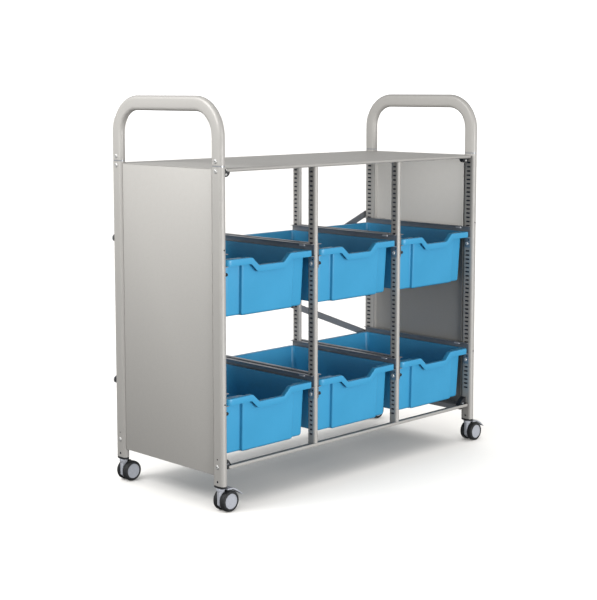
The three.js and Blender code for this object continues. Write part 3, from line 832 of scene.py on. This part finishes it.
def channel(side, low, half_length):
    """A C-channel along Y with its web at x = 0, its mouth towards the side, and two bolting tabs."""
    top = low + RUNNER_HEIGHT
    corners = [
        (0, low, RUNNER_FOLD), (RUNNER_FLANGE, low, SOFT_EDGE),
        (RUNNER_FLANGE, low + SHEET, SOFT_EDGE), (SHEET, low + SHEET, RUNNER_INNER_ROUND),
        (SHEET, top - SHEET, RUNNER_INNER_ROUND), (RUNNER_FLANGE, top - SHEET, SOFT_EDGE),
        (RUNNER_FLANGE, top, SOFT_EDGE), (0, top, RUNNER_FOLD),
    ]
    outline = [(side * a, b) for a, b in rounded(corners)]
    bodies = [bar(outline, -half_length, half_length, "Y")]
    for front in (-1, 1):
        edges = sorted((front * half_length, front * (half_length - RUNNER_TAB_LENGTH)))
        foot = low - RUNNER_TAB_DROP
        corners = [(edges[0], foot, RUNNER_TAB_ROUND), (edges[1], foot, RUNNER_TAB_ROUND),
                   (edges[1], low + 2 * SHEET, 0), (edges[0], low + 2 * SHEET, 0)]
        bodies.append(bar(rounded(corners), *sorted((0, side * SHEET)), "X"))
    return mixed(*bodies)


def stop_bead(side, low, half_length):
    """The raised bead near the front of the web that holds a tray in."""
    y = -half_length + STOP_FROM_FRONT
    z = low + RUNNER_HEIGHT - STOP_DROP
    half_height = STOP_THICKNESS / 2
    flat = STOP_LENGTH / 2 - half_height
    rings = []
    for share, proud in STOP_PROFILE:
        loop = arc((flat, 0), half_height * share, -pi / 2, pi / 2, STOP_STEPS)
        loop += arc((-flat, 0), half_height * share, pi / 2, 1.5 * pi, STOP_STEPS)
        x = side * (SHEET + STOP_PROUD * proud)
        rings.append([(x, y + a, z + b) for a, b in loop])
    return loft(rings)


def runner_hardware(name, x, front, y, ledge, sides):
    """At one end of a runner: a bright bolt on its -X side and a black knob on its +X side."""
    for side, offset in sides:
        if side < 0:
            fasteners = (("bolt", big_screw, RUNNER_BOLT_IN, RUNNER_BOLT_DROP),
                         ("dot_a", small_dot, RUNNER_DOT_IN, RUNNER_DOT_DROP))
        else:
            fasteners = (("knob", knob, RUNNER_KNOB_IN, RUNNER_BOLT_DROP),
                         ("dot_b", small_dot, RUNNER_DOT_IN, RUNNER_DOT_DROP))
        for label, mesh, inwards, drop in fasteners:
            add(f"{name}_{label}", mesh,
                place=facing(x + offset, y - front * inwards, ledge - drop, (side, 0, 0)))


def runner(node, sides):
    """sides lists each channel's direction; a runner on an upright has one each way."""
    low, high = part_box(node)
    centre = (low + high) / 2
    ledge = high.z - RUNNER_HEIGHT
    half_length = (high.y - low.y) / 2
    both = len(sides) == 2
    web = (high.x - low.x) / 2 - RUNNER_FLANGE if both else 0
    bodies, stops = [], []
    for side in sides:
        origin = web * side
        for body, store in ((channel(side, ledge, half_length), bodies),
                            (stop_bead(side, ledge, half_length), stops)):
            bmesh.ops.translate(body, verts=body.verts, vec=(origin, 0, 0))
            store.append(body)
    if both:
        for front in (-1, 1):
            run = (front * RUNNER_SPACER_AT - RUNNER_SPACER_LENGTH / 2,
                   front * RUNNER_SPACER_AT + RUNNER_SPACER_LENGTH / 2)
            spacer = rectangle((-web, ledge + RUNNER_SPACER_DROP), (web, high.z - RUNNER_SPACER_DROP))
            bodies.append(bar(spacer, *run, "Y"))
    origin_x = centre.x if both else (low.x if sides[0] > 0 else high.x)
    place = at(origin_x, centre.y, 0)
    stand_in(node, "channel", mixed(*bodies), "dark_steel", place=place)
    add(f"{node}_stop", as_mesh(f"{node}_stop", mixed(*stops), "pale_stop"), place=place)
    for face, front in FACES:
        end_y = centre.y + front * half_length
        offsets = [(side, side * (web + SHEET)) for side in sides]
        runner_hardware(f"{node}_{face}", origin_x, front, end_y, ledge, offsets)


# ---- Trays ----

def cut_drop(x, spread):
    """How far the finger cut-out lowers the front edge at this distance from the middle."""
    x = abs(x)
    floor, top = CUT_FLOOR + spread, CUT_TOP + spread
    slope = CUT_DEPTH / (top - floor)
    if x <= floor - CUT_BLEND:
        return CUT_DEPTH
    if x <= floor + CUT_BLEND:
        return CUT_DEPTH - slope * (x - floor + CUT_BLEND) ** 2 / (4 * CUT_BLEND)
    if x <= top - CUT_BLEND:
        return CUT_DEPTH - slope * (x - floor)
    if x <= top + CUT_BLEND:
        return slope * (top + CUT_BLEND - x) ** 2 / (4 * CUT_BLEND)
    return 0.0


def front_samples():
    """Distances from the middle along the front, close together where the cut-out bends."""
    bends = [BEND_SAMPLES_FROM + step * BEND_SAMPLE_PITCH for step in range(BEND_SAMPLE_COUNT)]
    return [*FLAT_SAMPLES, *bends, LAST_SAMPLE]


def mirrored(half):
    """The whole outline of a half that starts in the middle of the front."""
    return half + [(-x, y) for x, y in reversed(half[1:])]


def side_corners(side, front, rear):
    """The front and rear corner on the +X side."""
    corner = TRAY_CORNER
    ahead = arc((side - corner, front + corner), corner, -pi / 2, 0, TRAY_CORNER_STEPS)
    return ahead + arc((side - corner, rear - corner), corner, 0, pi / 2, TRAY_CORNER_STEPS)


def tray_outlines(rim_half, rim_depth):
    """The body's and the rim's outlines, point for point alike, and which points are the front."""
    front, turn, steps = -TRAY_BODY_FRONT, TRAY_SHOULDER_ROUND, TRAY_SHOULDER_STEPS
    step_in, step_out = TRAY_SHOULDER - turn, TRAY_SHOULDER + turn
    back = front + TRAY_SHOULDER_DEPTH
    samples = front_samples()
    body = [(x, front) for x in samples]
    body += arc((step_in, front + turn), turn, -pi / 2, 0, steps)
    body += arc((step_out, back - turn), turn, pi, pi / 2, steps)
    body += side_corners(TRAY_BODY_HALF, back, TRAY_BODY_REAR)
    spaces = 2 * steps + 1
    shoulder = [step_in + (step_out - step_in) * index / spaces for index in range(spaces + 1)]
    rim = [(x, -rim_depth / 2) for x in samples + shoulder]
    rim += side_corners(rim_half, -rim_depth / 2, rim_depth / 2)
    fronts = [True] * len(samples) + [False] * (len(body) - len(samples))
    return mirrored(body), mirrored(rim), fronts + fronts[:0:-1]


def tray_rings(height, rim_half, rim_depth):
    """Rings from the floor up the inside, over the rim, down the lip and back under."""
    body, rim, fronts = tray_outlines(rim_half, rim_depth)

    def ring(outline, inwards, z, edge=None):
        factor = TRAY_NARROWING + (1 - TRAY_NARROWING) * z / height if edge is None else 1.0
        points = []
        for (x, y), front in zip(inset(outline, inwards), fronts):
            drop = cut_drop(x, edge) if front and edge is not None else 0.0
            points.append((x * factor, y * factor, z - drop))
        return points

    wall = TRAY_WALL
    rings = [ring(body, wall + along, wall + up)
             for up, along in quarter_round(TRAY_FLOOR_ROUND)]
    rings += [ring(body, wall - out, height - down, 0.0)
              for down, out in reversed(quarter_round(RIM_INNER_ROUND))]
    rings += [ring(rim, along, height - up, 0.0)
              for up, along in quarter_round(RIM_EDGE_ROUND)]
    halfway = HALFWAY_SHARE * LIP_EDGE_ROUND
    lip = [(0, LIP_EDGE_ROUND), (halfway, halfway), (LIP_EDGE_ROUND, 0), (LIP_THICKNESS, 0)]
    rings += [ring(rim, inwards, height - LIP_HEIGHT + up, CUT_SPREAD) for inwards, up in lip]
    under = height - RIM_THICKNESS
    rings += [ring(rim, LIP_THICKNESS, under, 0.0), ring(body, 0, under, 0.0)]
    rings += [ring(body, along, up)
              for along, up in quarter_round(TRAY_FLOOR_ROUND)]
    return rings


def tray(node):
    low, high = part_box(node)
    size = high - low
    centre = (low + high) / 2
    rings = tray_rings(size.z, size.x / 2, size.y)
    stand_in(node, "box", loft(rings), "blue_tray_plastic", rides_on=node,
             place=at(centre.x, centre.y, low.z))


# ---- Casters ----

def wheel_tyre():
    """A fat tyre, closed on itself, with a broad round on its outer shoulder."""
    near, far = WHEEL_INNER, WHEEL_OUTER
    outer, shoulder = WHEEL_RADIUS, TYRE_SHOULDER
    profile = [(HUB_RADIUS, near + TYRE_STEP), (outer - TYRE_INNER_ROUND, near)]
    profile += arc((outer - TYRE_INNER_ROUND, near + TYRE_INNER_ROUND), TYRE_INNER_ROUND,
                   -pi / 2, 0, CORNER_STEPS)[1:]
    profile += arc((outer - shoulder, far - shoulder), shoulder, 0, pi / 2, TYRE_SHOULDER_STEPS)
    profile += [(HUB_RADIUS + TYRE_STEP, far - TYRE_STEP), (HUB_RADIUS, far - 3 * TYRE_STEP)]
    return as_mesh("tyre", turned(profile, WHEEL_STEPS, cyclic=True), "tyre_rubber")


def wheel_hub():
    """A dished disc with a shallow groove near its edge and a raised centre cap."""
    edge = HUB_RADIUS - HUB_CLEARANCE
    groove = edge - HUB_GROOVE_IN
    back = WHEEL_INNER + 2 * HUB_STEP
    face = [
        (edge, 3), (edge - HUB_STEP, 2), (edge - 2 * HUB_STEP, 1.5), (groove, 2),
        (groove - HUB_STEP, 3), (groove - 2 * HUB_STEP, 3), (groove - 3 * HUB_STEP, 2),
        (HUB_CAP_RADIUS, 1.5), (HUB_CAP_RADIUS - HUB_STEP, 0.5), (AXLE_RADIUS, 0.2),
    ]
    profile = [(AXLE_RADIUS, back), (edge, back)]
    profile += [(radius, WHEEL_OUTER - steps * HUB_STEP) for radius, steps in face]
    return as_mesh("hub", turned(profile, WHEEL_STEPS), "grey_caster_plastic")


def axle():
    half = WHEEL_OUTER - HUB_STEP
    rod = turned([(AXLE_RADIUS, -half), (AXLE_RADIUS, half)], AXLE_STEPS)
    return as_mesh("axle", rod, "dark_steel")


def hood_body(trail, axle_z, top):
    """The web between the wheels and the neck above it."""
    rim = [(trail + a, axle_z + b, radius) for a, b, radius in HOOD_RIM]
    outline = rounded([
        (HOOD_FRONT, top, HOOD_TOP_ROUND), (HOOD_FRONT, axle_z - HOOD_FRONT_DROP, HOOD_FRONT_ROUND),
        *rim, (HOOD_NECK, top - HOOD_NECK_DROP, HOOD_NECK_ROUND), (HOOD_NECK, top, HOOD_TOP_ROUND),
    ])
    return bar(outline, -HOOD_HALF_WIDTH, HOOD_HALF_WIDTH, "Y")


def collar_body(foot_low):
    """The round collar that the hood swivels on, under the foot cap, with the stem's root."""
    low, high = foot_low - COLLAR_HEIGHT, foot_low - COLLAR_GAP
    across, down = COLLAR_TOP_EDGE
    return turned([
        (COLLAR_RADIUS - COLLAR_LOW_EDGE, low), (COLLAR_RADIUS, low + COLLAR_LOW_EDGE),
        (COLLAR_RADIUS, high - down), (COLLAR_RADIUS - across, high),
        (STEM_RADIUS, high), (STEM_RADIUS, foot_low + STEM_RISE),
    ], COLLAR_STEPS)


def caster(corner):
    hood, wheels = f"caster_hood_{corner}", f"wheel_pair_{corner}"
    axle_place = middle(wheels)
    swivel_x = middle(f"post_{corner}").x
    y = axle_place.y
    foot_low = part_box(f"foot_cap_{corner}")[0].z
    body = f"caster_{corner}"
    web = hood_body(axle_place.x - swivel_x, axle_place.z, foot_low - COLLAR_HEIGHT + HOOD_LAP)
    stand_in(hood, "web", web, "grey_caster_plastic", rides_on=body,
             place=at(swivel_x, y, 0), soften=HOOD_SOFT)
    add(f"{hood}_collar", as_mesh(f"{hood}_collar", collar_body(foot_low), "grey_caster_plastic"),
        body, at(swivel_x, y, 0))
    wheels_body = f"wheels_{corner}"
    for label, side in (("outer", 1), ("inner", -1)):
        place = facing(*axle_place, (0, side, 0))
        add(f"{wheels}_tyre_{label}", tyre_mesh, wheels_body, place, stands_for=[wheels])
        add(f"{wheels}_hub_{label}", hub_mesh, wheels_body, place)
    add(f"{wheels}_axle", axle_mesh, wheels_body, facing(*axle_place, (0, 1, 0)))


def brake_lever(end):
    """A pedal arched over both wheels, thin at its tip."""
    node = f"brake_lever_front_{end}"
    low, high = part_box(node)
    centre = (low + high) / 2
    tip, top = high.x - low.x, high.z - low.z
    corners = [(a, top - LEVER_ROOT - drop, radius) for a, drop, radius in LEVER_UNDERSIDE]
    corners += [(tip - LEVER_TIP_SLANT, 0, LEVER_TIP_ROUND), (tip, LEVER_TIP_HEIGHT, LEVER_TIP_ROUND)]
    corners += [(a, top - drop, radius) for a, drop, radius in LEVER_BACK]
    body = bar(rounded(corners), -LEVER_HALF_WIDTH, LEVER_HALF_WIDTH, "Y")
    stand_in(node, "pedal", body, "grey_caster_plastic", rides_on=f"brake_front_{end}",
             place=at(low.x, centre.y, low.z), soften=LEVER_SOFT)


tyre_mesh = wheel_tyre()
hub_mesh = wheel_hub()
axle_mesh = axle()


# ---- CAD pieces that stay, with a better finish ----

def refinish(node, finish):
    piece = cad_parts[node]
    piece.data.materials.clear()
    piece.data.materials.append(FINISHES[finish])
    round_edges(piece, SOFT_EDGE, harden_normals=False)


def brace_bolts():
    """The bolts that hold the straps' ends to the rear posts."""
    for end, outward in ENDS:
        place = middle(f"post_rear_{end}")
        for label, rising in (("upper", 1), ("lower", -1)):
            strap = "brace_strap_rising" if rising * outward > 0 else "brace_strap_falling"
            low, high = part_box(strap)
            z = high.z - BRACE_BOLT_IN if rising > 0 else low.z + BRACE_BOLT_IN
            add(f"brace_bolt_{label}_{end}", brace_bolt,
                place=facing(place.x, high.y, z, (0, 1, 0)))


# ---- Stage ----

def stage_object(name, data, recipe, *unseen_by):
    """A piece of the stage, in the recipe's material and hidden from some kinds of ray."""
    data.materials.append(recipe.material)
    thing = scene_object(name, data)
    for ray in unseen_by:
        setattr(thing, f"visible_{ray}", False)
    return thing


def floor():
    """The pale ground, lit by a light of its own."""
    data = bpy.data.meshes.new("floor")
    corners = rectangle((-FLOOR_REACH, -FLOOR_REACH), (FLOOR_REACH, FLOOR_REACH))
    data.from_pydata([(x, y, 0) for x, y in corners], [], [(0, 1, 2, 3)])
    recipe = Recipe("pale_floor", specular=0.1)
    recipe.colour((3, 2), (0.51, 0.502, 0.488), (0.52, 0.512, 0.498))
    recipe.roughness((5, 2), 0.75, 0.85)
    recipe.glow(FLOOR_TINT, FLOOR_GLOW)
    floor_sun(stage_object("floor", data, recipe, "diffuse", "glossy"))


def backdrop():
    """A pale dome that only the camera sees, so that the floor has no horizon."""
    body = bmesh.new()
    bmesh.ops.create_uvsphere(body, u_segments=BACKDROP_SEGMENTS, v_segments=BACKDROP_RINGS,
                              radius=BACKDROP_RADIUS)
    recipe = Recipe("pale_backdrop", specular=0.0)
    recipe.colour((1, 2), (0.9, 0.9, 0.9), (0.95, 0.95, 0.95))
    recipe.glow((1, 1, 1, 1), BACKDROP_GLOW)
    stage_object("backdrop", plain_mesh("backdrop", body), recipe,
                 "diffuse", "glossy", "transmission", "shadow")


def only_for(light, receiver):
    """Limits a light to one object."""
    group = bpy.data.collections.new(f"{light.name}_receiver")
    group.objects.link(receiver)
    light.light_linking.receiver_collection = group


def floor_sun(ground):
    """A broad overhead light that only the floor receives, so its shadow is soft and neutral."""
    data = bpy.data.lights.new("floor_sun", "SUN")
    data.energy = FLOOR_SUN_STRENGTH
    data.angle = FLOOR_SUN_ANGLE
    only_for(scene_object("floor_sun", data), ground)


def soft_light(name, place, target, size, power):
    """A rectangular light that the camera doesn't see, aimed at a target."""
    data = bpy.data.lights.new(name, "AREA")
    data.shape = "RECTANGLE"
    data.size, data.size_y = size
    data.energy = power
    light = scene_object(name, data)
    light.location = place
    aim = Vector(target) - Vector(place)
    light.rotation_euler = aim.to_track_quat("-Z", "Y").to_euler()
    light.visible_camera = False
    return light


def sky():
    """Light from all round: brightest low down, softer overhead, dim from below and from the left."""
    world = bpy.data.worlds.new("studio")
    world.use_nodes = True
    nodes, links = world.node_tree.nodes, world.node_tree.links
    place = nodes.new("ShaderNodeTexCoord").outputs["Generated"]
    split = nodes.new("ShaderNodeSeparateXYZ")
    links.new(place, split.inputs["Vector"])
    ramp = nodes.new("ShaderNodeValToRGB")
    ramp.color_ramp.elements[0].position = SKY_LEVELS[0][0]
    ramp.color_ramp.elements[1].position = SKY_LEVELS[-1][0]
    for share, _ in SKY_LEVELS[1:-1]:
        ramp.color_ramp.elements.new(share)
    for element, (_, level) in zip(ramp.color_ramp.elements, SKY_LEVELS):
        element.color = (level, level, level, 1)
    links.new(ranged(world.node_tree, split.outputs["Z"], (-1, 1), (0, 1)), ramp.inputs["Fac"])
    background = nodes["Background"]
    links.new(ramp.outputs["Color"], background.inputs["Color"])
    left_to_right = (SKY_LEFT_SHARE * SKY_STRENGTH, SKY_STRENGTH)
    strength = ranged(world.node_tree, split.outputs["X"], (-1, 1), left_to_right)
    links.new(strength, background.inputs["Strength"])
    bpy.context.scene.world = world


def studio():
    """The light all round, the two keys, and a small fill for the inner face of each side panel."""
    sky()
    backdrop()
    bpy.context.scene.view_settings.view_transform = "Standard"
    soft_light("left_key", **LEFT_KEY)
    soft_light("front_key", **FRONT_KEY)
    for end, outward in ENDS:
        place, target = ((outward * x, 0, z) for x, z in PANEL_FILL_LINE)
        fill = soft_light(f"panel_fill_{end}", place, target, PANEL_FILL_SIZE, PANEL_FILL_POWER)
        only_for(fill, bpy.data.objects[f"side_panel_{end}_pan"])


def camera():
    data = bpy.data.cameras.new("camera")
    data.lens = CAMERA_LENS
    data.shift_x, data.shift_y = CAMERA_SHIFT
    view = scene_object("camera", data)
    view.location = CAMERA_PLACE
    view.rotation_euler = (CAMERA_PITCH, 0, CAMERA_YAW)
    bpy.context.scene.camera = view


# ---- The trolley ----

for end, outward in ENDS:
    end_frame(end, outward)
    refinish(f"foot_channel_{end}", "dark_steel")
    for level in ("top", "bottom"):
        for face, front in FACES:
            corner_bracket(level, face, front, end, outward)

top_panel()
for face, front in FACES:
    bottom_rail(face, front)
    for index in UPRIGHTS:
        intermediate_upright(f"upright_{face}_{index}")
    for end, _ in ENDS:
        caster(f"{face}_{end}")

for row in ROWS:
    for bay in BAYS:
        tray(f"tray_{row}_{bay}")
    for end, outward in ENDS:
        runner(f"runner_{row}_{end}", (-outward,))
    for index in UPRIGHTS:
        runner(f"runner_{row}_middle_{index}", (-1, 1))

for node in ("brace_strap_falling", "brace_strap_rising", "brace_centre_bolt"):
    refinish(node, "dark_steel")
brace_bolts()
for end, _ in ENDS:
    brake_lever(end)

floor()
studio()
camera()
